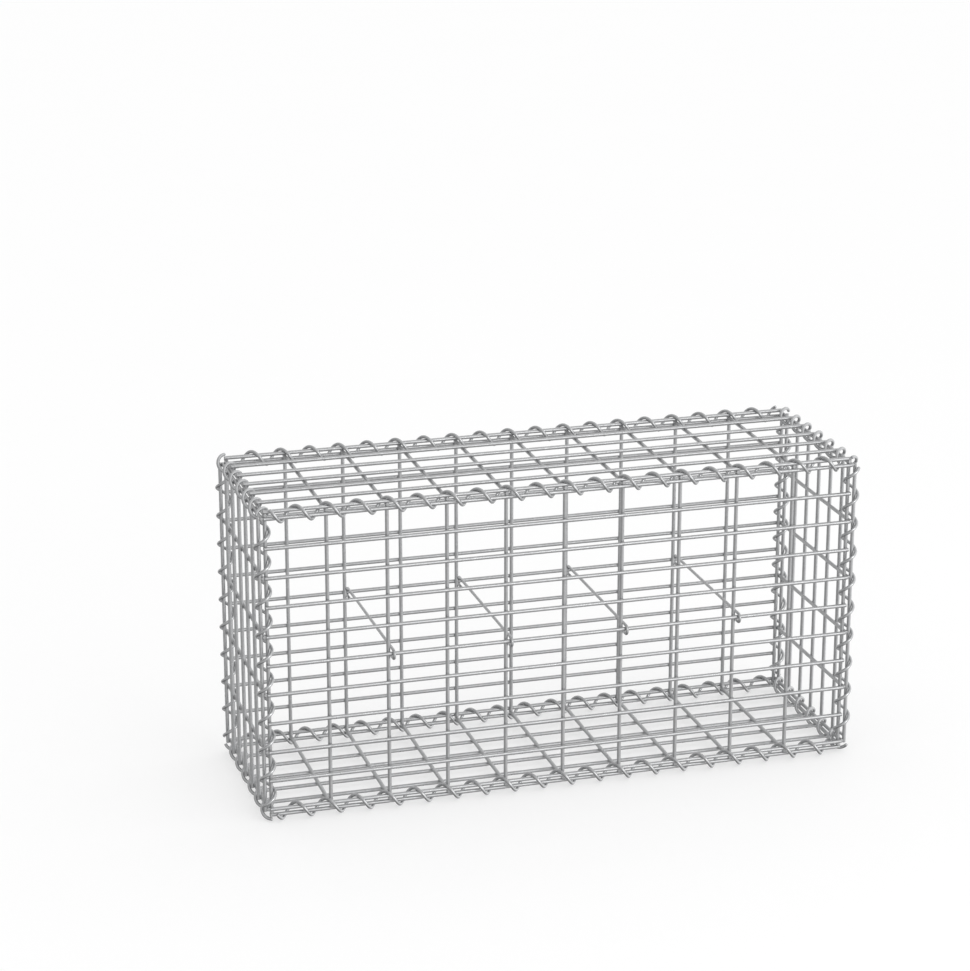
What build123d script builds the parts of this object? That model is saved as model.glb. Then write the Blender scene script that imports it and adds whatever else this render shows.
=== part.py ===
"""An empty gabion basket: six welded wire panels, laced along all twelve edges by spiral
binders and held apart by four hooked spacers.

X runs along the basket, Y from the front to the back, Z up. The origin is the bottom centre of
the whole. All sizes are millimetres. The round wires are drawn as square bars with the same
area, and a binder as six straight stretches a turn.
"""
from build123d import *
import math
import os

# the box, between the middles of its panels' outermost wires
length = 1000.0
depth = 300.0
height = 500.0

# the mesh: each panel has long wires at the short spacing, and cross wires at the long one
mesh_short = 50.0
mesh_long = 100.0

# wire diameters
wire = 6.0
spiral_wire = 5.5
spacer_wire = 4.0

# how far apart two pieces lie that bear on each other
seat = 0.3

# how far the front and back panels' welds stand outside the lid's and base's edge wires
panel_step = 0.6

# spiral binders, right-handed
spiral_pitch = 50.0
spiral_bends = 6
spiral_end_x = 3.0
spiral_end_y = 10.0
spiral_end_z = 2.0

# hooked spacers, from the front panel to the back panel at half height
spacer_count = 4
spacer_every = 200.0
spacer_lip = 3.0

# whole cells along each side of the box, as near as they come to the mesh's spacings; the front
# panel's rows share the end panels' cells, so their wires meet at the corners
cell_x = length / round(length / mesh_long)
cell_y = depth / round(depth / mesh_short)
cell_z = height / round(height / mesh_long)
row_z = cell_z / round(cell_z / mesh_short)

# each binder makes whole turns between the wires that it passes
pitch_x = cell_x / round(cell_x / spiral_pitch)
pitch_y = cell_y / round(cell_y / spiral_pitch)
pitch_z = row_z / round(row_z / spiral_pitch)

# square bars with the area of the round wires
bar = wire * math.sqrt(math.pi) / 2
spiral_bar = spiral_wire * math.sqrt(math.pi) / 2
spacer_bar = spacer_wire * math.sqrt(math.pi) / 2

# the layers of each panel, from the middle of the box outward; the outer layer has the wires
# at the short spacing, and the two layers meet face to face
front_weld = depth / 2 + panel_step
front_inner = front_weld - bar / 2
front_outer = front_weld + bar / 2
end_inner = length / 2 + bar + seat
end_outer = end_inner + bar
lid_inner = height / 2 + bar + seat
lid_outer = lid_inner + bar

# where each kind of edge has its binder's axis: midway between the two wires that it binds; an
# end's binder hangs outward by its slack, because its strokes pass close by the ends of wires
end_slack = 0.6
axis_long = ((front_outer + depth / 2) / 2, (height / 2 + lid_outer) / 2)
axis_upright = ((length / 2 + end_outer) / 2, (front_inner + depth / 2) / 2)
axis_end = ((end_inner + length / 2) / 2 + end_slack, (height / 2 + lid_inner) / 2 + end_slack)

# the binder's flat inner faces clear the two wires of a long edge
inner_face = (lid_outer - height / 2 + bar) / 2 + seat
inner_radius = inner_face / math.cos(math.pi / spiral_bends)
outer_radius = inner_radius + spiral_bar

# angle of each binder at the low end of its edge, turned so that it misses the cross wires
angle_top_front = 74.0
angle_top_back = 118.0
angle_bottom_front = 136.0
angle_bottom_back = 240.0
angle_front_left = 153.0
angle_front_right = 4.0
angle_back_left = 96.0
angle_back_right = 4.0
angle_top_left = 315.0
angle_top_right = 45.0
angle_bottom_left = 225.0
angle_bottom_right = 135.0


def spread(span, cell):
    """Places of the wires along a span that holds whole cells, centred on nought."""
    count = round(span / cell)
    return [(i - count / 2) * cell for i in range(count + 1)]


def panel(x_places, y_places, outer, inner):
    """A welded panel in the XY plane, with heights along Z.

    The wires along X lie in the outer layer at y_places, those along Y in the inner one."""
    span_x = x_places[-1] - x_places[0] + bar
    span_y = y_places[-1] - y_places[0] + bar
    bars = [Pos(0, y, outer) * Box(span_x, bar, bar) for y in y_places]
    bars += [Pos(x, 0, inner) * Box(bar, span_y, bar) for x in x_places]
    return bars[0].fuse(*bars[1:])


def binder(edge, end, pitch, start, corner):
    """A spiral round the Z axis on an edge centred on nought, from end to end short of it.

    Start is its angle at the edge's low end; corner is the angle of one of its bends."""
    step = 360.0 / spiral_bends
    rise = pitch / spiral_bends
    slope = math.atan2(pitch, math.pi * (inner_radius + outer_radius))
    half_width = spiral_bar / 2 / math.cos(slope)
    first = math.ceil(end / rise + (start - corner) / step)
    last = math.floor((edge - end) / rise + (start - corner) / step)
    rings = []
    for k in range(first, last + 1):
        angle = corner + k * step
        middle = (angle - start) / 360.0 * pitch - edge / 2
        out = Vector(1, 0, 0).rotate(Axis.Z, angle)
        ring = []
        for radius, side in ((inner_radius, -1), (outer_radius, -1), (outer_radius, 1), (inner_radius, 1)):
            ring.append(out * radius + Vector(0, 0, middle + side * half_width))
        rings.append(ring)
    faces = [polygon(reversed(rings[0])), polygon(rings[-1])]
    for low, high in zip(rings[:-1], rings[1:]):
        faces.append(polygon([low[1], high[1], high[2], low[2]]))
        faces.append(polygon([low[3], high[3], high[0], low[0]]))
        faces.append(polygon([low[0], high[0], high[1]]))
        faces.append(polygon([low[0], high[1], low[1]]))
        faces.append(polygon([low[2], high[2], high[3]]))
        faces.append(polygon([low[2], high[3], low[3]]))
    return Solid(Shell(faces))


def polygon(points):
    """A flat face with the given corners."""
    return Face(Wire.make_polygon(list(points), close=True))


def spacer():
    """A spacer in the YZ plane: a straight shank whose ends go over, down and back under the
    long wires of the front and back panels."""
    reach = (bar + spacer_bar) / 2 + seat
    cut = spacer_bar + 2 * seat - math.sqrt(2) * (spacer_bar / 2 + seat)
    half = [
        (front_outer + reach - cut, reach),
        (front_outer + reach, reach - cut),
        (front_outer + reach, cut - reach),
        (front_outer + reach - cut, -reach),
        (front_outer - spacer_lip, -reach),
    ]
    points = [(0, -y, z) for y, z in reversed(half)] + [(0, y, z) for y, z in half]
    path = Polyline(*points)
    section = Plane(origin=path @ 0, z_dir=path % 0) * Rectangle(spacer_bar, spacer_bar)
    return sweep(section, path=path, transition=Transition.RIGHT)


def panels():
    """The six panels by name, about the middle of the box."""
    wall = panel(spread(length, cell_x), spread(height, row_z), front_outer, front_inner)
    cover = panel(spread(length, cell_x), spread(depth, cell_y), lid_outer, lid_inner)
    end = panel(spread(height, cell_z), spread(depth, cell_y), end_outer, end_inner)
    return {
        "front_panel": Rot(90, 0, 0) * wall,
        "back_panel": Rot(0, 0, 180) * Rot(90, 0, 0) * wall,
        "lid": cover,
        "base": Rot(180, 0, 0) * cover,
        "left_panel": Rot(0, -90, 0) * end,
        "right_panel": Rot(0, 90, 0) * end,
    }


def binders():
    """The twelve spirals by name, each round the two wires of its edge."""
    spirals = {}
    y, z = axis_long
    for name, start, side_y, side_z in (
        ("top_front", angle_top_front, -1, 1),
        ("top_back", angle_top_back, 1, 1),
        ("bottom_front", angle_bottom_front, -1, -1),
        ("bottom_back", angle_bottom_back, 1, -1),
    ):
        place = Plane(origin=(0, side_y * y, side_z * z), x_dir=(0, 1, 0), z_dir=(1, 0, 0))
        spirals["spiral_" + name] = place * binder(length, spiral_end_x, pitch_x, start, 0)

    x, y = axis_upright
    for name, start, side_x, side_y in (
        ("front_left", angle_front_left, -1, -1),
        ("front_right", angle_front_right, 1, -1),
        ("back_left", angle_back_left, -1, 1),
        ("back_right", angle_back_right, 1, 1),
    ):
        place = Plane(origin=(side_x * x, side_y * y, 0), x_dir=(1, 0, 0), z_dir=(0, 0, 1))
        corner = 180 / spiral_bends
        spirals["spiral_" + name] = place * binder(height, spiral_end_z, pitch_z, start, corner)

    x, z = axis_end
    for name, start, side_x, side_z in (
        ("top_left", angle_top_left, -1, 1),
        ("top_right", angle_top_right, 1, 1),
        ("bottom_left", angle_bottom_left, -1, -1),
        ("bottom_right", angle_bottom_right, 1, -1),
    ):
        place = Plane(origin=(side_x * x, 0, side_z * z), x_dir=(0, 0, 1), z_dir=(0, 1, 0))
        spirals["spiral_" + name] = place * binder(depth, spiral_end_y, pitch_y, start, 0)
    return spirals


def spacers():
    """The spacers by name, each on the middle row and beside one of the front panel's uprights."""
    one = spacer()
    beside = (bar + spacer_bar) / 2 + seat
    uprights = spread(length, cell_x)
    rows = spread(height, row_z)
    step = round(spacer_every / cell_x)
    first = (len(uprights) - 1 - step * (spacer_count - 1)) // 2
    return {
        f"spacer_{i + 1}": Pos(uprights[first + i * step] + beside, 0, rows[len(rows) // 2]) * one
        for i in range(spacer_count)
    }


def main():
    """Stands the basket on its lowest point, and writes one file a piece."""
    pieces = {**panels(), **binders(), **spacers()}
    boxes = [piece.bounding_box() for piece in pieces.values()]
    low = Vector(min(b.min.X for b in boxes), min(b.min.Y for b in boxes), min(b.min.Z for b in boxes))
    high = Vector(max(b.max.X for b in boxes), max(b.max.Y for b in boxes), max(b.max.Z for b in boxes))
    middle = (low + high) / 2
    stand = Pos(-middle.X, -middle.Y, -low.Z)
    os.makedirs("parts", exist_ok=True)
    for name, piece in pieces.items():
        export_step(stand * piece, f"parts/{name}.step")
    print("box", high - low, "middle", middle, "base", low.Z)
    print("binder radii", inner_radius, outer_radius)


if __name__ == "__main__":
    main()
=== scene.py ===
"""The looks of an empty gabion basket, built round its packed frame.

Six welded mesh panels of round galvanised wire, a spiral binder round each of the twelve edges,
and four hooked spacers from the front panel to the back one. Lengths are metres.
"""
import math
import typing

import bpy
import numpy as np
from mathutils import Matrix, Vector


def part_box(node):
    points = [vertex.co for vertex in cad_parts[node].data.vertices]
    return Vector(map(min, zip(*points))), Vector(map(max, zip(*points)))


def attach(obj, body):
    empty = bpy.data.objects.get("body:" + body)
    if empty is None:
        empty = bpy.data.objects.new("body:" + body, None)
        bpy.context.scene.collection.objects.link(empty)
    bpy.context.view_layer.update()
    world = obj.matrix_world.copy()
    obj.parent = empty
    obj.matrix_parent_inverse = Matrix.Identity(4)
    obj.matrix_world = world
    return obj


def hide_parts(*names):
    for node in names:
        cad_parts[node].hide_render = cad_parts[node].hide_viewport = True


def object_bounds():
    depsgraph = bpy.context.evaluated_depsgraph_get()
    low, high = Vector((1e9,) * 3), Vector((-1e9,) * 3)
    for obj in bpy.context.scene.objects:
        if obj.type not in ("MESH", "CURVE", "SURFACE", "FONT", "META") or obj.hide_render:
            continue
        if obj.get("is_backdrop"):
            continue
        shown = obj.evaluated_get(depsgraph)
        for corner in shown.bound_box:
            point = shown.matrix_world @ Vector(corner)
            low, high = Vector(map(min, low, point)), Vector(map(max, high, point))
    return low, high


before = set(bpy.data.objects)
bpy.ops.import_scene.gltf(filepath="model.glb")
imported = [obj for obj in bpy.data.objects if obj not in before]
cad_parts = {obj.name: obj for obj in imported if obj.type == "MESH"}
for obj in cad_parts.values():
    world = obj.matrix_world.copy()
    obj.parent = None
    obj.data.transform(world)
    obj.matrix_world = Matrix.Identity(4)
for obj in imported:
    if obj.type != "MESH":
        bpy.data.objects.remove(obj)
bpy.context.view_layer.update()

bl_info = {
    "name": "Gabion Basket",
    "version": (1, 0, 0),
    "blender": (4, 5, 0),
    "location": "View3D > Sidebar > Gabion",
    "description": "Wire mesh panels, spiral binders and spacers of an empty gabion basket",
    "category": "Object",
}

TURN = 2 * math.pi

# sides of a wire's round section
SIDES = 16
SPACER_SIDES = 14

# a cut end is a flat with a rounded edge: rings this far in, and this wide, as shares of the radius
CUT_INSET = np.array([0.0, 0.06, 0.18, 0.40])
CUT_WIDTH = np.array([0.62, 0.84, 0.96, 1.0])

# length over which a weld presses the wire flat, rings on each side of it, and reach of its stain
PRESS = 0.002
PRESS_RINGS = np.array([-0.0042, -0.0022, 0.0, 0.0022, 0.0042])
STAIN = 0.0042

# rings of a spacer's hook, and place of one more ring on its shank
HOOK_RINGS = 25
SHANK_RING = 0.06

# seeds of the finish's start on each wire of a panel
OUTER_SEED = 10
INNER_SEED = 30

# the zinc's patterns, in features per metre: fine mottling, drifts of tone along a wire, streaks
# from drawing, stains at the welds, and ripples of the coat
MOTTLE, DRIFT, STREAKS, STAINS, RIPPLES = 900, 9, 1500, 350, 420

# what each pattern adds to the share of clean zinc, and what is taken off the sum
GRAIN_SHARE, MOTTLE_SHARE, DRIFT_SHARE, STREAK_SHARE, TAKEN_OFF = 0.34, 0.3, 0.42, 0.2, 0.13

# the floor's disc
FLOOR_RADIUS = 30
FLOOR_SIDES = 64


def node_box(name):
    """Lowest and highest corner of a node of the frame."""
    low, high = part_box(name)
    return np.array(low), np.array(high)


# The front panel's bars give the side of the square bars, and its outermost wires give the middle.
FRONT_LOW, FRONT_HIGH = node_box("front_panel")
BAR = (FRONT_HIGH[1] - FRONT_LOW[1]) / 2
CENTRE = np.array([0.0, 0.0, (FRONT_LOW[2] + FRONT_HIGH[2]) / 2])

# Place of the first cross wire that an edge's binder passes, for each axis that an edge runs along.
FIRST_WIRE = np.array([FRONT_LOW[0], node_box("left_panel")[0][1], FRONT_LOW[2]]) + BAR / 2

# Panel name: axis of its outer wires, axis of its inner wires, outward axis, outward sign.
PANELS = {
    "front_panel": (0, 2, 1, -1),
    "back_panel": (0, 2, 1, 1),
    "lid": (0, 1, 2, 1),
    "base": (0, 1, 2, -1),
    "left_panel": (2, 1, 0, -1),
    "right_panel": (2, 1, 0, 1),
}

# Kind of edge: the axis that its binder runs along, the axes that the binder's angle is measured
# from and towards, and the names of its four edges.
EDGES = {
    "long": (0, 1, 2, ("top_front", "top_back", "bottom_front", "bottom_back")),
    "upright": (2, 0, 1, ("front_left", "front_right", "back_left", "back_right")),
    "end": (1, 2, 0, ("top_left", "top_right", "bottom_left", "bottom_right")),
}


# Sizes and colours that a user would change.


class MeshSizes(bpy.types.PropertyGroup):
    """Sizes of the welded mesh panels"""

    wire: bpy.props.FloatProperty(
        name="Wire", description="Diameter of the mesh wires", default=0.0064, min=0.002, max=0.01,
        unit="LENGTH", precision=4)
    short_cell: bpy.props.FloatProperty(
        name="Short cell", description="Spacing of the outer wires of a panel", default=0.05,
        unit="LENGTH")
    long_cell: bpy.props.FloatProperty(
        name="Long cell", description="Spacing of the inner wires of a panel", default=0.1,
        unit="LENGTH")
    overhang: bpy.props.FloatProperty(
        name="Overhang", description="How far a cut end stands past the last wire's centre",
        default=0.0036, unit="LENGTH", precision=4)
    flat: bpy.props.FloatProperty(
        name="Weld flat", description="Depth of the flat that welding leaves outside a crossing",
        default=0.0003, unit="LENGTH", precision=5)
    bead: bpy.props.FloatProperty(
        name="Weld bead", description="Radius of the metal pressed out of a weld", default=0.0041,
        unit="LENGTH", precision=4)
    bead_depth: bpy.props.FloatProperty(
        name="Bead depth", description="Thickness of the bead, as a share of its width",
        default=0.27, min=0, max=1, subtype="FACTOR")


class BinderSizes(bpy.types.PropertyGroup):
    """Sizes of the spiral binders"""

    wire: bpy.props.FloatProperty(
        name="Wire", description="Diameter of the binder's wire", default=0.0056, min=0.002,
        max=0.01, unit="LENGTH", precision=4)
    radius: bpy.props.FloatProperty(
        name="Radius", description="Radius of the spiral, to the middle of its wire",
        default=0.0118, unit="LENGTH", precision=5)
    pitch: bpy.props.FloatProperty(
        name="Pitch", description="Length of one turn along the edge", default=0.05, unit="LENGTH")
    corner: bpy.props.FloatProperty(
        name="Corner loop", description="How far a short edge's spiral runs past the last wire",
        default=0.006, unit="LENGTH", precision=4)
    steps: bpy.props.IntProperty(
        name="Steps", description="Rings of the wire in one turn", default=40, min=12, max=96)
    long_angles: bpy.props.FloatVectorProperty(
        name="Long edges", size=4, subtype="NONE", unit="ROTATION",
        description="Angle at the left end: top front, top back, bottom front, bottom back",
        default=[math.radians(a) for a in (74, 118, 136, 240)])
    upright_angles: bpy.props.FloatVectorProperty(
        name="Uprights", size=4, subtype="NONE", unit="ROTATION",
        description="Angle at the foot: front left, front right, back left, back right",
        default=[math.radians(a) for a in (153, 4, 96, 4)])
    end_angles: bpy.props.FloatVectorProperty(
        name="End edges", size=4, subtype="NONE", unit="ROTATION",
        description="Angle at the front: top left, top right, bottom left, bottom right",
        default=[math.radians(a) for a in (315, 45, 225, 135)])


class SpacerSizes(bpy.types.PropertyGroup):
    """Sizes of the hooked spacers"""

    wire: bpy.props.FloatProperty(
        name="Wire", description="Diameter of the spacer's wire", default=0.0050, min=0.002,
        max=0.008, unit="LENGTH", precision=4)
    rest: bpy.props.FloatProperty(
        name="Rest", description="Gap between the shank and the wire that it rests on",
        default=0.0004, unit="LENGTH", precision=5)
    hook: bpy.props.FloatProperty(
        name="Hook", description="Radius of the hook, to the middle of its wire",
        default=0.00725, unit="LENGTH", precision=5)
    tail: bpy.props.FloatProperty(
        name="Tail", description="Length of the hook's straight end", default=0.014,
        unit="LENGTH", precision=4)
    aside: bpy.props.FloatProperty(
        name="Aside", description="How far a spacer is moved away from its upright",
        default=0.0025, unit="LENGTH", precision=4)


class ZincLook(bpy.types.PropertyGroup):
    """Colours and roughness of the galvanised wires"""

    bright: bpy.props.FloatVectorProperty(
        name="Bright zinc", description="Colour of clean zinc", subtype="COLOR", size=3,
        min=0, max=1, default=(0.66, 0.665, 0.675))
    dull: bpy.props.FloatVectorProperty(
        name="Dull zinc", description="Colour of weathered zinc", subtype="COLOR", size=3,
        min=0, max=1, default=(0.47, 0.475, 0.48))
    seam: bpy.props.FloatVectorProperty(
        name="Weld tint", description="Colour round the welds", subtype="COLOR", size=3,
        min=0, max=1, default=(0.36, 0.36, 0.36))
    roughness: bpy.props.FloatProperty(
        name="Roughness", description="Roughness of the cleanest zinc", default=0.17, min=0, max=1,
        subtype="FACTOR")
    grain: bpy.props.FloatProperty(
        name="Zinc grain", description="Size of the zinc's grains on the wire", default=0.0035,
        unit="LENGTH", precision=4)
    bump: bpy.props.FloatProperty(
        name="Bump", description="Height of the coat's ripples", default=0.00010, unit="LENGTH",
        precision=5)


class StageLook(bpy.types.PropertyGroup):
    """Floor, lights and camera"""

    floor: bpy.props.FloatVectorProperty(
        name="Floor", description="Colour of the floor", subtype="COLOR", size=3, min=0, max=1,
        default=(0.42, 0.42, 0.42))
    glow: bpy.props.FloatProperty(
        name="Glow", description="Light of the floor itself, as on a table lit from below",
        default=0.54, min=0)
    sky: bpy.props.FloatProperty(
        name="Fill", description="Strength of the even light from all sides", default=0.75, min=0)
    right: bpy.props.FloatProperty(
        name="Right side", description="How much stronger the light from the right is",
        default=0.31)
    above: bpy.props.FloatProperty(
        name="Upper side", description="How much stronger the light from above is",
        default=-0.09)
    under: bpy.props.FloatProperty(
        name="Under side", description="How much weaker the light from straight below is",
        default=0.95)
    key: bpy.props.FloatProperty(
        name="Key", description="Power of the large light in front", default=36, min=0,
        subtype="POWER", unit="POWER")
    key_size: bpy.props.FloatProperty(
        name="Key's size", description="Side of the large light", default=2.4, unit="LENGTH")
    key_place: bpy.props.FloatVectorProperty(
        name="Key's place", description="Place of the large light", subtype="TRANSLATION", size=3,
        default=(1.7, -5.2, 2.4))
    side: bpy.props.FloatProperty(
        name="Side", description="Power of the smaller light at the right, seen in the spirals",
        default=16, min=0, subtype="POWER", unit="POWER")
    side_size: bpy.props.FloatProperty(
        name="Side's size", description="Side of the smaller light", default=1.8, unit="LENGTH")
    side_place: bpy.props.FloatVectorProperty(
        name="Side's place", description="Place of the smaller light", subtype="TRANSLATION",
        size=3, default=(3.4, -4.2, 0.95))
    overcast: bpy.props.FloatProperty(
        name="Overcast", description="Strength of the very soft light from above", default=1.15,
        min=0)
    place: bpy.props.FloatVectorProperty(
        name="Camera", description="Place of the camera", subtype="TRANSLATION", size=3,
        default=(-1.4013, -4.4153, 1.9739))
    heading: bpy.props.FloatVectorProperty(
        name="Heading", size=2, unit="ROTATION",
        description="Camera's tilt down from the horizon, and its turn to the right",
        default=(math.radians(17.865), math.radians(16.518)))
    lens: bpy.props.FloatProperty(
        name="Lens", description="Focal length in millimetres", default=107.372, min=10)


SETTINGS = {
    "gabion_mesh": MeshSizes,
    "gabion_binder": BinderSizes,
    "gabion_spacer": SpacerSizes,
    "gabion_zinc": ZincLook,
    "gabion_stage": StageLook,
}


# Shapes.


class Surface(typing.NamedTuple):
    """Points on grids, arrays of faces between them, whether each array is smooth, and for every
    point its place along its wire and on the wire's section, which the finish follows."""

    points: np.ndarray
    faces: list
    smooth: list
    strand: np.ndarray


def sweep_round(centre, across, up, radius):
    """Rings of a wire, from the place, two directions square to the wire, and radius of each ring.

    point(i, j) = centre(i) + radius(i, j) * (cos(angle j) * across(i) + sin(angle j) * up(i)), with
    the angles in equal steps round the ring. Also gives the place on the section,
    (radius cos(angle), radius sin(angle)). Leading axes may hold several wires of one kind."""
    angles = np.arange(radius.shape[-1]) / radius.shape[-1] * TURN
    out = np.cos(angles)[:, None] * across[..., None, :] + np.sin(angles)[:, None] * up[..., None, :]
    section = radius[..., None] * np.stack([np.cos(angles), np.sin(angles)], -1)
    return centre[..., None, :] + radius[..., None] * out, section


def tube_faces(wires, rings, sides):
    """Quads between neighbouring rings, and a flat face over each end, for a stack of equal wires.

    Quad (i, j) lies between rings i and i + 1 and sides j and j + 1, the last side next to the first."""
    i, j = np.meshgrid(np.arange(rings - 1), np.arange(sides), indexing="ij")
    after = (j + 1) % sides
    corners = [i * sides + j, i * sides + after, (i + 1) * sides + after, (i + 1) * sides + j]
    quads = np.stack(corners, -1).reshape(-1, 4)
    caps = np.stack([np.arange(sides)[::-1], (rings - 1) * sides + np.arange(sides)])
    start = (np.arange(wires) * rings * sides)[:, None, None]
    return (quads + start).reshape(-1, 4), (caps + start).reshape(-1, sides)


def put_in_scene(name, surfaces, replaced):
    """Makes one object of several surfaces, in place of nodes of the frame."""
    points = np.concatenate([surface.points.reshape(-1, 3) for surface in surfaces])
    strand = np.concatenate([surface.strand.reshape(-1, 3) for surface in surfaces])
    corners, sizes, smooth = [], [], []
    offset = 0
    for surface in surfaces:
        for faces, soft in zip(surface.faces, surface.smooth):
            corners.append((faces + offset).ravel())
            sizes.append(np.full(len(faces), faces.shape[1]))
            smooth.append(np.full(len(faces), soft))
        offset += surface.points.size // 3
    corners, sizes, smooth = map(np.concatenate, (corners, sizes, smooth))
    mesh = bpy.data.meshes.new(name)
    mesh.vertices.add(len(points))
    mesh.vertices.foreach_set("co", points.astype(np.float32).ravel())
    mesh.loops.add(len(corners))
    mesh.loops.foreach_set("vertex_index", corners.astype(np.int32))
    mesh.polygons.add(len(sizes))
    mesh.polygons.foreach_set("loop_start", np.concatenate([[0], np.cumsum(sizes)[:-1]]).astype(np.int32))
    mesh.polygons.foreach_set("use_smooth", smooth.astype(bool))
    mesh.update(calc_edges=True)
    place = mesh.attributes.new("strand", "FLOAT_VECTOR", "POINT")
    place.data.foreach_set("vector", strand.astype(np.float32).ravel())
    if mesh.validate():
        raise RuntimeError(f"{name}: the mesh had faults")
    piece = bpy.data.objects.new(name, mesh)
    bpy.context.scene.collection.objects.link(piece)
    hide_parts(*replaced)
    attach(piece, "root")
    return piece


def cut_ends(low, high, radius, slope=1.0):
    """Places of the rings at a wire's two cut ends. The slope is the wire's length per unit of place."""
    inset = CUT_INSET * radius / slope
    return low + inset, high - inset[::-1]


def cut_width(count):
    """Share of the radius at each of a wire's rings, narrower at the cut ends."""
    return np.concatenate([CUT_WIDTH, np.ones(count - 2 * len(CUT_WIDTH)), CUT_WIDTH[::-1]])


def straight_wires(axes, places, half, height, crossings, sizes, seed):
    """Straight parallel wires of one layer of a panel, pressed a little flat where they are welded.

    axes: the axis that the wires run along, the one that they are spread over at the places given,
    the one that the layer faces, and its sign.
    radius(s, a) = r * width(s) - flat * press(s) * max(0, cos a)^2 + flat / 3 * press(s) * sin(a)^2,
    with the angle a from the direction that the layer faces, and
    press(s) = the sum over the crossings of exp(-((s - crossing) / 2 mm)^2)."""
    along, across, outward, sign = axes
    radius = sizes.wire / 2
    first, last = cut_ends(-half, half, radius)
    inner = (crossings[:, None] + PRESS_RINGS).ravel()
    inner = inner[(inner > first[-1] + 1e-5) & (inner < last[0] - 1e-5)]
    s = np.concatenate([first, inner, last])
    press = np.exp(-((s[:, None] - crossings) / PRESS) ** 2).sum(1)
    angles = np.arange(SIDES) / SIDES * TURN
    shape = np.sin(angles) ** 2 / 3 - np.clip(np.cos(angles), 0, 1) ** 2
    section = radius * cut_width(len(s))[:, None] + sizes.flat * press[:, None] * shape
    centre = np.zeros((len(places), len(s), 3)) + CENTRE
    centre[..., along] += s
    centre[..., across] += places[:, None]
    centre[..., outward] = height
    facing = np.broadcast_to(np.eye(3)[outward] * sign, centre.shape)
    aside = np.broadcast_to(np.cross(np.eye(3)[along], facing[0, 0]), centre.shape)
    rings, around = sweep_round(centre, facing, aside, np.broadcast_to(section, centre.shape[:2] + (SIDES,)))
    # each wire starts elsewhere in the finish's pattern
    starts = np.random.default_rng(seed).uniform(0, 50, len(places))
    run = np.broadcast_to((s + starts[:, None])[..., None, None], rings.shape[:3] + (1,))
    strand = np.concatenate([run, around], -1)
    return Surface(rings, list(tube_faces(len(places), len(s), SIDES)), [True, False], strand)


def weld_beads(centres, outward, sizes):
    """Metal pressed out round each weld, as flattened balls:
    point = centre + bead * (cos a cos b, sin a cos b, depth * sin b), its short way outward."""
    around, levels = 8, np.radians([-50, 0, 50])
    a = np.arange(around) / around * TURN
    first, second = [axis for axis in range(3) if axis != outward]
    ball = np.zeros((len(levels), around, 3))
    ball[..., first] = np.cos(levels)[:, None] * np.cos(a)
    ball[..., second] = np.cos(levels)[:, None] * np.sin(a)
    ball[..., outward] = sizes.bead_depth * np.sin(levels)[:, None]
    points = centres[:, None, None, :] + sizes.bead * ball
    quads, caps = tube_faces(len(centres), len(levels), around)
    if outward == 1:
        # first and second run the other way round this axis
        quads, caps = quads[:, ::-1], caps[:, ::-1]
    return Surface(points, [quads, caps], [True, True], points)


def helix_wire(middle, axes, low, high, phase, start, sizes):
    """A binder's wire. Its centreline is middle + R (cos(t) first + sin(t) second) + place * along,
    with t = phase + 2 pi (place - start) / pitch, and its round section stands square to it."""
    radius = sizes.wire / 2
    rise = TURN * sizes.radius / sizes.pitch
    slope = math.hypot(1.0, rise)
    step = sizes.pitch / sizes.steps
    place = np.arange(low, high, step)
    first, last = cut_ends(low, high, radius, slope)
    room = 0.5 * (first[-1] - low)
    place = place[(place > first[-1] + room) & (place < last[0] - room)]
    place = np.concatenate([first, place, last])
    turn = phase + TURN * (place - start) / sizes.pitch
    along, one, two = np.eye(3)[list(axes)]
    out = np.cos(turn)[:, None] * one + np.sin(turn)[:, None] * two
    ahead = np.cos(turn)[:, None] * two - np.sin(turn)[:, None] * one
    centre = middle + sizes.radius * out + place[:, None] * along
    tangent = (rise * ahead + along) / slope
    section = radius * cut_width(len(place))[:, None] * np.ones(SIDES)
    rings, around = sweep_round(centre, out, np.cross(tangent, out), section)
    # each binder starts elsewhere in the finish's pattern
    run = place * slope + 7.0 * start + 3.0 * phase
    run = np.broadcast_to(run[:, None, None], rings.shape[:2] + (1,))
    strand = np.concatenate([run, around], -1)
    return Surface(rings, list(tube_faces(1, len(place), SIDES)), [True, False], strand)


def hooked_path(x, row, sizes, mesh):
    """Corners of a spacer's centreline, in the YZ plane at x: a straight shank over the long wires
    at height row, half a turn of the hook's radius down round the wire at each end, and a straight
    tail back under it."""
    shank = (sizes.wire + mesh.wire) / 2 + sizes.rest
    outer = abs(FRONT_LOW[1]) - BAR / 2
    bend = math.pi / 2 - np.linspace(0, math.pi, HOOK_RINGS)
    arc = np.column_stack([outer + sizes.hook * np.cos(bend), shank + sizes.hook * (np.sin(bend) - 1)])
    half = np.concatenate([[[SHANK_RING, shank]], arc, [[outer - sizes.tail, arc[-1, 1]]]])
    flat = np.concatenate([half[::-1] * (-1, 1), half]) + (0, row)
    return np.column_stack([np.full(len(flat), x), flat])


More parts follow.
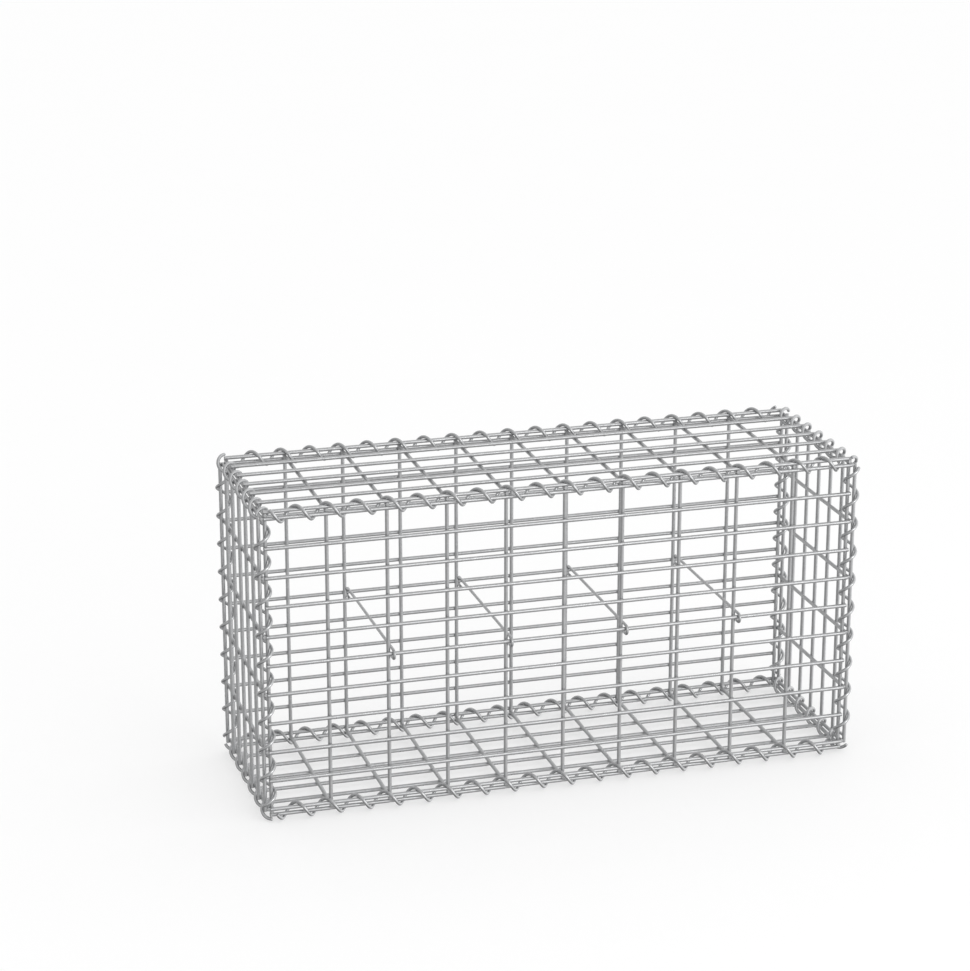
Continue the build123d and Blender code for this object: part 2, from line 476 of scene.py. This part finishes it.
def bent_wire(path, radius, offset):
    """A round wire along a path square to X: point(i, j) = path(i) + radius * width(i) *
    (cos(angle j) X + sin(angle j) (tangent(i) x X)). The offset moves the finish's pattern along it."""
    run = np.concatenate([[0], np.cumsum(np.linalg.norm(np.diff(path, axis=0), axis=1))])
    first, last = cut_ends(0, run[-1], radius)
    room = 0.5 * first[-1]
    inner = run[(run > first[-1] + room) & (run < last[0] - room)]
    stations = np.concatenate([first, inner, last])
    path = np.column_stack([np.interp(stations, run, path[:, k]) for k in range(3)])
    tangent = np.gradient(path, stations, axis=0)
    tangent /= np.linalg.norm(tangent, axis=1)[:, None]
    side = np.broadcast_to(np.eye(3)[0], path.shape)
    section = radius * cut_width(len(stations))[:, None] * np.ones(SPACER_SIDES)
    rings, around = sweep_round(path, side, np.cross(tangent, side), section)
    place = np.broadcast_to((stations + offset)[:, None, None], rings.shape[:2] + (1,))
    strand = np.concatenate([place, around], -1)
    return Surface(rings, list(tube_faces(1, len(stations), SPACER_SIDES)), [True, False], strand)


# Finishes.


class Signal:
    """A node's output. Arithmetic on it adds Math nodes, with a number or a Signal on either side."""

    def __init__(self, tree, socket):
        self.tree, self.socket = tree, socket

    @classmethod
    def node(cls, tree, kind, settings=None, sockets=None, output=0):
        """Adds any node: its settings first, then the values or links of its sockets."""
        made = tree.nodes.new(kind)
        for name, value in (settings or {}).items():
            setattr(made, name, value)
        for name, value in (sockets or {}).items():
            if isinstance(value, Signal):
                tree.links.new(value.socket, made.inputs[name])
            else:
                made.inputs[name].default_value = value
        return cls(tree, made.outputs[output] if made.outputs else None)

    def calculate(self, operation, first, second):
        return Signal.node(self.tree, "ShaderNodeMath", {"operation": operation}, {0: first, 1: second})

    def sibling(self, output):
        """Another output of the same node."""
        return Signal(self.tree, self.socket.node.outputs[output])

    def __add__(self, other):
        return self.calculate("ADD", self, other)

    def __sub__(self, other):
        return self.calculate("SUBTRACT", self, other)

    def __rsub__(self, other):
        return self.calculate("SUBTRACT", other, self)

    def __mul__(self, other):
        return self.calculate("MULTIPLY", self, other)

    __radd__, __rmul__ = __add__, __mul__


def mix(tree, factor, first, second):
    """A colour between two, by the factor."""
    return Signal.node(tree, "ShaderNodeMix", {"data_type": "RGBA"}, {0: factor, 6: first, 7: second}, 2)


def empty_tree(owner):
    """The node tree of a material or world, without its default nodes."""
    owner.use_nodes = True
    owner.node_tree.nodes.clear()
    return owner.node_tree


def noise(tree, vector, scale, detail, stretch=(1, 1, 1)):
    """Cloudy noise, with its coordinates stretched by a factor along each axis."""
    spread = Signal.node(tree, "ShaderNodeMapping", None, {"Vector": vector, "Scale": stretch})
    return Signal.node(tree, "ShaderNodeTexNoise", None,
                       {"Vector": spread, "Scale": scale, "Detail": detail, "Roughness": 0.6})


def zinc(name, look, tone, polish, welds):
    """Galvanised wire.

    Colour: grains of clean and dull zinc, broader drifts of tone along each wire, thin streaks from
    drawing, and a darker ring round the welds. Roughness and bump follow the same grains. The tone
    makes the whole cleaner, and the polish takes away from its roughness."""
    material = bpy.data.materials.new(name)
    tree = empty_tree(material)
    place = Signal.node(tree, "ShaderNodeTexCoord", output="Object")
    strand = Signal.node(tree, "ShaderNodeAttribute", {"attribute_name": "strand"}, output="Vector")

    grain = Signal.node(tree, "ShaderNodeTexVoronoi", {"feature": "SMOOTH_F1"},
                        {"Vector": strand, "Scale": 1 / look.grain, "Smoothness": 0.6, "Randomness": 1.0},
                        output="Color")
    grain = Signal.node(tree, "ShaderNodeSeparateColor", None, {"Color": grain})
    mottle = noise(tree, place, MOTTLE, 4)
    drift = noise(tree, strand, DRIFT, 2, (1, 0.2, 0.2))
    streak = noise(tree, strand, STREAKS, 2, (0.02, 1, 1))
    clean = grain * GRAIN_SHARE + mottle * MOTTLE_SHARE + drift * DRIFT_SHARE + streak * STREAK_SHARE
    clean = clean - TAKEN_OFF + tone
    clean = Signal.node(tree, "ShaderNodeClamp", None, {0: clean})
    colour = mix(tree, clean, (*look.dull, 1), (*look.bright, 1))
    roughness = look.roughness - polish + (1 - clean) * 0.16 + mottle * 0.08
    if welds:
        ring = Signal.node(tree, "ShaderNodeAttribute", {"attribute_name": "weld"}, output="Fac")
        ring = ring * (0.35 + noise(tree, place, STAINS, 3) * 0.5)
        colour = mix(tree, ring, colour, (*look.seam, 1))
        roughness = roughness + ring * 0.15
    relief = noise(tree, strand, RIPPLES, 3, (0.6, 1, 1)) + grain * 0.3 + streak * 0.15
    bump = Signal.node(tree, "ShaderNodeBump", None,
                       {"Strength": 0.5, "Distance": look.bump, "Height": relief})
    shader = Signal.node(tree, "ShaderNodeBsdfPrincipled", None,
                         {"Base Color": colour, "Roughness": roughness, "Metallic": 0.92, "Normal": bump})
    Signal.node(tree, "ShaderNodeOutputMaterial", None, {"Surface": shader})
    return material


def finish_of(kind):
    """The finish of a group of wires, made once."""
    look = bpy.context.scene.gabion_zinc
    made = {
        "mesh": ("galvanised mesh", look, 0.0, 0.0, True),
        "binder": ("galvanised binder", look, 0.20, 0.05, False),
        "spacer": ("galvanised spacer", look, -0.04, 0.02, False),
    }[kind]
    return bpy.data.materials.get(made[0]) or zinc(*made)


# Operators.


class GABION_OT_panels(bpy.types.Operator):
    """Round welded wires in place of the six panels' square bars"""

    bl_idname = "gabion.panels"
    bl_label = "Mesh Panels"

    def execute(self, context):
        sizes = context.scene.gabion_mesh
        for number, (name, (along, across, outward, sign)) in enumerate(PANELS.items()):
            low, high = node_box(name)
            span = high - low - BAR
            outer_places = self.spread(span[across], sizes.short_cell)
            inner_places = self.spread(span[along], sizes.long_cell)
            outside = high[outward] if sign > 0 else low[outward]
            outer_height = outside - sign * BAR / 2
            inner_height = outside - sign * BAR * 1.5
            outer = straight_wires(
                (along, across, outward, sign), outer_places, span[along] / 2 + sizes.overhang,
                outer_height, inner_places, sizes, OUTER_SEED + number)
            inner = straight_wires(
                (across, along, outward, -sign), inner_places, span[across] / 2 + sizes.overhang,
                inner_height, outer_places, sizes, INNER_SEED + number)
            welds = np.zeros((len(inner_places), len(outer_places), 3)) + (low + high) / 2
            welds[..., along] += inner_places[:, None]
            welds[..., across] += outer_places
            welds[..., outward] = (outer_height + inner_height) / 2
            welds = welds.reshape(-1, 3)
            beads = weld_beads(welds, outward, sizes)
            piece = put_in_scene("mesh_" + name, [outer, inner, beads], [name])
            self.mark_welds(piece.data, welds)
            piece.data.materials.append(finish_of("mesh"))
        return {"FINISHED"}

    @staticmethod
    def spread(span, cell):
        """Places of the wires over a span that holds whole cells, centred on nought."""
        return np.linspace(-0.5, 0.5, round(span / cell) + 1) * span

    @staticmethod
    def mark_welds(mesh, welds):
        """Stores how near each point is to a weld: exp(-(distance to the nearest / 4.2 mm)^2)."""
        points = np.zeros(len(mesh.vertices) * 3, np.float32)
        mesh.vertices.foreach_get("co", points)
        distance = np.linalg.norm(points.reshape(-1, 1, 3) - welds, axis=2).min(1)
        mark = mesh.attributes.new("weld", "FLOAT", "POINT")
        mark.data.foreach_set("value", np.exp(-(distance / STAIN) ** 2).astype(np.float32))


class GABION_OT_binders(bpy.types.Operator):
    """Round spirals in place of the twelve binders' angular ones"""

    bl_idname = "gabion.binders"
    bl_label = "Spiral Binders"

    def execute(self, context):
        sizes = context.scene.gabion_binder
        for kind, (along, first, second, names) in EDGES.items():
            for name, phase in zip(names, getattr(sizes, kind + "_angles")):
                low, high = node_box("spiral_" + name)
                middle = (low + high) / 2
                centre = middle[along]
                middle[along] = 0.0
                if kind == "end":
                    reach = sizes.corner - FIRST_WIRE[along]
                else:
                    reach = (high - low)[along] / 2 - sizes.wire / 2
                wire = helix_wire(middle, (along, first, second), centre - reach, centre + reach,
                                  phase, FIRST_WIRE[along], sizes)
                piece = put_in_scene("round_spiral_" + name, [wire], ["spiral_" + name])
                piece.data.materials.append(finish_of("binder"))
        return {"FINISHED"}


class GABION_OT_spacers(bpy.types.Operator):
    """Round hooked wires in place of the four spacers' square ones"""

    bl_idname = "gabion.spacers"
    bl_label = "Hooked Spacers"

    def execute(self, context):
        sizes = context.scene.gabion_spacer
        for number in range(1, 5):
            name = f"spacer_{number}"
            low, high = node_box(name)
            x, row = (low[0] + high[0]) / 2 + sizes.aside, (low[2] + high[2]) / 2
            path = hooked_path(x, row, sizes, context.scene.gabion_mesh)
            wire = bent_wire(path, sizes.wire / 2, number)
            piece = put_in_scene("round_" + name, [wire], [name])
            piece.data.materials.append(finish_of("spacer"))
        return {"FINISHED"}


class GABION_OT_stage(bpy.types.Operator):
    """A pale floor, soft studio lights and the camera"""

    bl_idname = "gabion.stage"
    bl_label = "Floor, Lights and Camera"

    def execute(self, context):
        look = context.scene.gabion_stage
        context.scene.view_settings.view_transform = "Standard"
        context.scene.world = self.surroundings(look)
        context.scene.camera = self.camera(look)
        self.floor(look)
        self.soft_light("key light", look.key, look.key_size, look.key_place)
        self.soft_light("side light", look.side, look.side_size, look.side_place)
        self.overcast(look.overcast)
        return {"FINISHED"}

    @staticmethod
    def link(name, data):
        """An object in the scene, for a mesh, light or camera."""
        made = bpy.data.objects.new(name, data)
        bpy.context.scene.collection.objects.link(made)
        return made

    def floor(self, look):
        """A disc level with the object's foot, with a faint mottling and a glow of its own:
        point = (radius cos a, radius sin a, the foot's height)."""
        angles = np.arange(FLOOR_SIDES) / FLOOR_SIDES * TURN
        x, y = FLOOR_RADIUS * np.cos(angles), FLOOR_RADIUS * np.sin(angles)
        points = np.column_stack([x, y, np.full(FLOOR_SIDES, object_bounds()[0][2])])
        mesh = bpy.data.meshes.new("floor")
        mesh.from_pydata(points.tolist(), [], [list(range(FLOOR_SIDES))])
        material = bpy.data.materials.new("pale floor")
        tree = empty_tree(material)
        place = Signal.node(tree, "ShaderNodeTexCoord", output="Object")
        cloud = Signal.node(tree, "ShaderNodeTexNoise", None, {"Vector": place, "Scale": 2.5, "Detail": 3})
        shade = tuple(0.985 * c for c in look.floor)
        shader = Signal.node(tree, "ShaderNodeBsdfPrincipled", None,
                             {"Base Color": mix(tree, cloud, (*look.floor, 1), (*shade, 1)),
                              "Roughness": 0.9, "Specular IOR Level": 0.1,
                              "Emission Color": (1, 1, 1, 1), "Emission Strength": look.glow})
        Signal.node(tree, "ShaderNodeOutputMaterial", None, {"Surface": shader})
        mesh.materials.append(material)
        piece = self.link("floor", mesh)
        piece.visible_glossy = False
        piece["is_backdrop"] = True

    @staticmethod
    def surroundings(look):
        """Pale surroundings, by direction:
        strength = fill + right * x + above * z - under * max(0, -z - 0.3)."""
        world = bpy.data.worlds.new("studio")
        tree = empty_tree(world)
        direction = Signal.node(tree, "ShaderNodeTexCoord", output="Generated")
        x = Signal.node(tree, "ShaderNodeSeparateXYZ", None, {"Vector": direction}, "X")
        z = x.sibling("Z")
        low = z.calculate("MAXIMUM", -0.3 - z, 0)
        strength = x * look.right + z * look.above + look.sky - low * look.under
        glow = Signal.node(tree, "ShaderNodeBackground", None, {"Color": (1, 1, 1, 1), "Strength": strength})
        Signal.node(tree, "ShaderNodeOutputWorld", None, {"Surface": glow})
        return world

    def overcast(self, strength):
        """A sun as wide as a cloudy sky, which lights the floor and isn't mirrored in the wires."""
        data = bpy.data.lights.new("overcast", "SUN")
        data.energy = strength
        data.angle = math.radians(120)
        self.link("overcast", data).visible_glossy = False

    def soft_light(self, name, power, size, place):
        """A square area light at a place, turned to the object's middle."""
        data = bpy.data.lights.new(name, "AREA")
        data.shape = "SQUARE"
        data.size = size
        data.energy = power
        lamp = self.link(name, data)
        lamp.location = place
        lamp.rotation_euler = (Vector(CENTRE) - Vector(place)).to_track_quat("-Z", "Y").to_euler()

    def camera(self, look):
        """The camera at the photograph's viewing angle, level from side to side."""
        data = bpy.data.cameras.new("camera")
        data.lens = look.lens
        data.sensor_width = 36.0
        data.sensor_fit = "AUTO"
        data.clip_end = 200
        camera = self.link("camera", data)
        camera.location = look.place
        camera.rotation_euler = (math.pi / 2 - look.heading[0], 0, -look.heading[1])
        return camera


class GABION_PT_sidebar(bpy.types.Panel):
    """Lists the basket's settings and steps"""

    bl_idname = "GABION_PT_sidebar"
    bl_label = "Gabion Basket"
    bl_space_type = "VIEW_3D"
    bl_region_type = "UI"
    bl_category = "Gabion"

    def draw(self, context):
        for name, group in SETTINGS.items():
            box = self.layout.box()
            box.label(text=group.__doc__)
            settings = getattr(context.scene, name)
            for key in group.__annotations__:
                box.prop(settings, key)
        for operator in OPERATORS:
            self.layout.operator(operator.bl_idname)


OPERATORS = (GABION_OT_panels, GABION_OT_binders, GABION_OT_spacers, GABION_OT_stage)
CLASSES = (*SETTINGS.values(), *OPERATORS, GABION_PT_sidebar)


def register():
    for cls in CLASSES:
        bpy.utils.register_class(cls)
    for name, group in SETTINGS.items():
        setattr(bpy.types.Scene, name, bpy.props.PointerProperty(type=group))


def unregister():
    for name in SETTINGS:
        delattr(bpy.types.Scene, name)
    for cls in reversed(CLASSES):
        bpy.utils.unregister_class(cls)


def main():
    register()
    bpy.ops.gabion.panels()
    bpy.ops.gabion.binders()
    bpy.ops.gabion.spacers()
    bpy.ops.gabion.stage()


if __name__ == "__main__":
    main()
